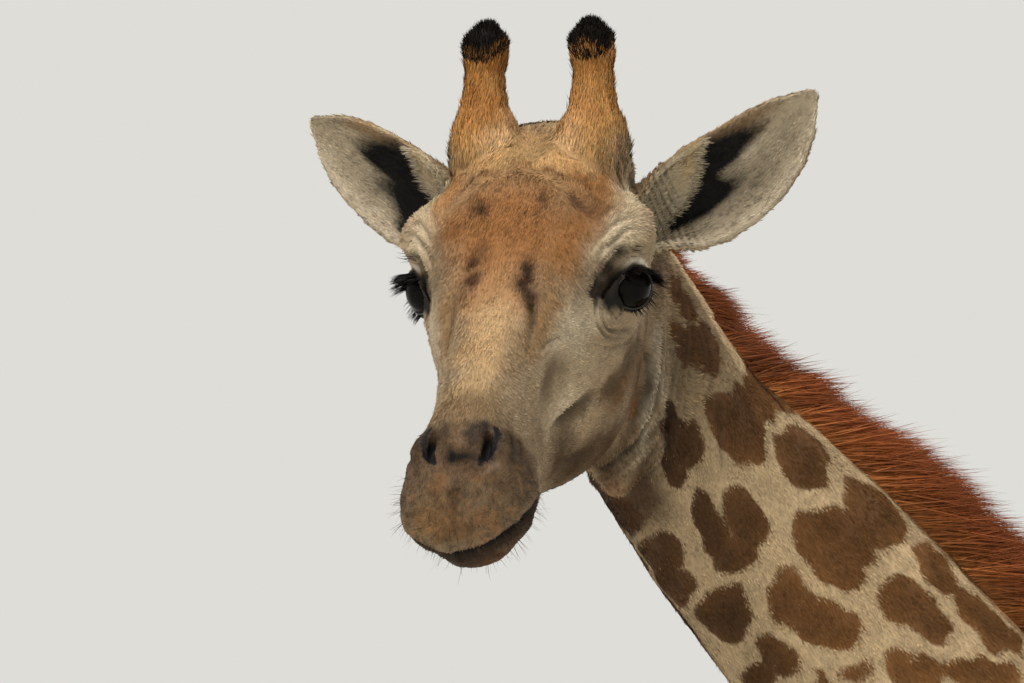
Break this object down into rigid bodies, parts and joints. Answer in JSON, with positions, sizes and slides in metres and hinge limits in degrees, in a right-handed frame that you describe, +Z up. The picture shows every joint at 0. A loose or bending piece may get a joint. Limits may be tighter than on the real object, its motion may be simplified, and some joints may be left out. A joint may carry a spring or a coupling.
{
  "type": "adult giraffe standing, life-size still model",
  "caption": "Life-size southern giraffe cow standing square, neck raised forward and head turned to her left, with short patched coat, upright mane, ears and tufted ossicones.",
  "frame": {"origin": "on the floor, under the middle of the model's outline box", "axes": "+Z up; the body faces -Y; +X is the animal's own left; the head is turned about 52 degrees to the left of the body's line"},
  "size_m": [0.7594, 3.0012, 4.0105],
  "materials": {
    "coat": "short flat hair, brown patches on pale buff",
    "ear": "short hair over thin skin, black and grey inside",
    "horn": "haired skin over bone, black tufted tip",
    "eye": "wet gloss",
    "mane": "stiff russet hair",
    "hoof": "worn dark horn",
    "tail_hair": "long black hair"
  },
  "bodies": {
    "root": {"ear_left": "ear", "ear_right": "ear", "eye_left": "eye", "eye_right": "eye", "foreleg_left_lower": "coat", "foreleg_left_upper": "coat", "foreleg_right_lower": "coat", "foreleg_right_upper": "coat", "head": "coat", "hindleg_left_lower": "coat", "hindleg_left_upper": "coat", "hindleg_right_lower": "coat", "hindleg_right_upper": "coat", "hoof_fore_left": "hoof", "hoof_fore_right": "hoof", "hoof_hind_left": "hoof", "hoof_hind_right": "hoof", "jaw": "coat", "mane_lower": "mane", "mane_middle": "mane", "mane_upper": "mane", "neck_lower": "coat", "neck_middle": "coat", "neck_upper": "coat", "ossicone_left": "horn", "ossicone_right": "horn", "tail": "coat", "tail_tuft": "tail_hair", "trunk_front": "coat", "trunk_rear": "coat"}
  },
  "joints": []
}
